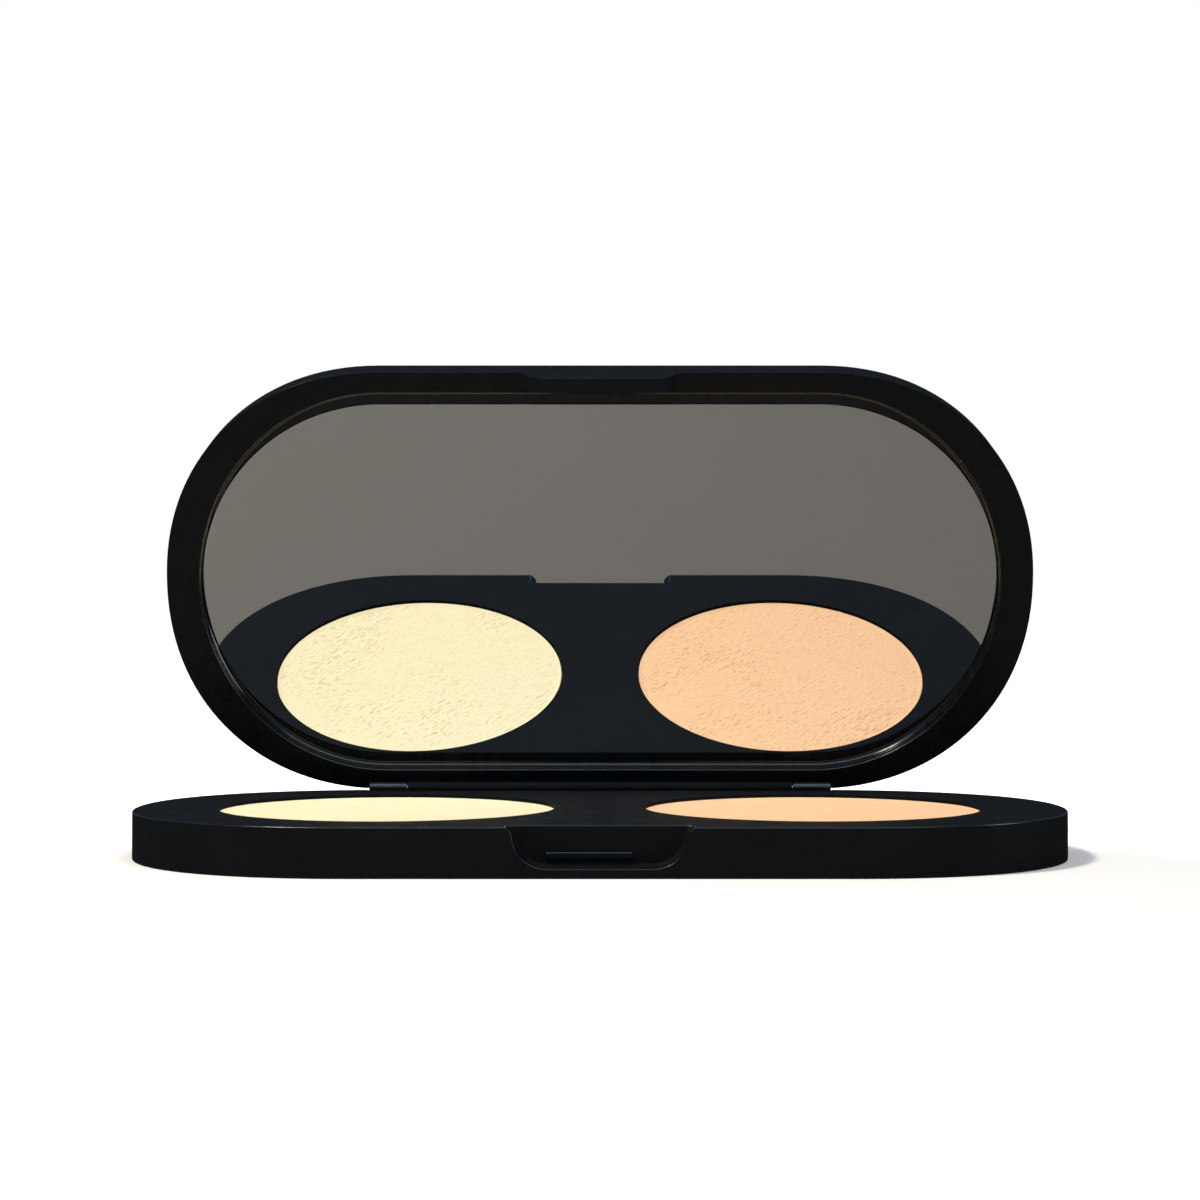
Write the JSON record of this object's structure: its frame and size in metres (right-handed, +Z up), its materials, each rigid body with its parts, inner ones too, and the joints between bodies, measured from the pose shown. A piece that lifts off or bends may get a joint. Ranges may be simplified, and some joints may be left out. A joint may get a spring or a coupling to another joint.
{
  "type": "powder compact",
  "caption": "Slim capsule-shaped powder compact: a black case with round pressed powders in the base and a mirror in the hinged, snap-shut lid.",
  "frame": {"origin": "on the surface the compact rests on, under the middle of the base", "axes": "+X right as seen from the latch side, +Y towards the hinge, +Z up; the lid is shown open by about 75 degrees"},
  "size_m": [0.101, 0.0544, 0.0547],
  "materials": {
    "case_plastic": "satin black moulding with a fine texture",
    "plate_plastic": "matt black moulding",
    "pan_metal": "pressed sheet, satin",
    "ivory_powder": "pressed powder, fine grained, dead matt",
    "peach_powder": "pressed powder, fine grained, dead matt",
    "mirror_glass": "silvered float glass",
    "pin_steel": "drawn wire",
    "adhesive": "double-sided sheet"
  },
  "bodies": {
    "base": {"base_shell": "case_plastic", "base_bottom": "plate_plastic", "pan_left": "pan_metal", "pan_right": "pan_metal", "powder_left": "ivory_powder", "powder_right": "peach_powder", "pan_adhesive_left": "adhesive", "pan_adhesive_right": "adhesive", "hinge_pin_left": "pin_steel", "hinge_pin_right": "pin_steel"},
    "lid": {"lid_shell": "case_plastic", "mirror": "mirror_glass", "mirror_adhesive": "adhesive"}
  },
  "joints": [
    {"name": "lid_hinge", "type": "hinge", "parent": "base", "child": "lid", "pos_m": [0, 0.0248, 0.0054], "axis": [-1, 0, 0], "range_deg": [-74.9, 30]}
  ]
}
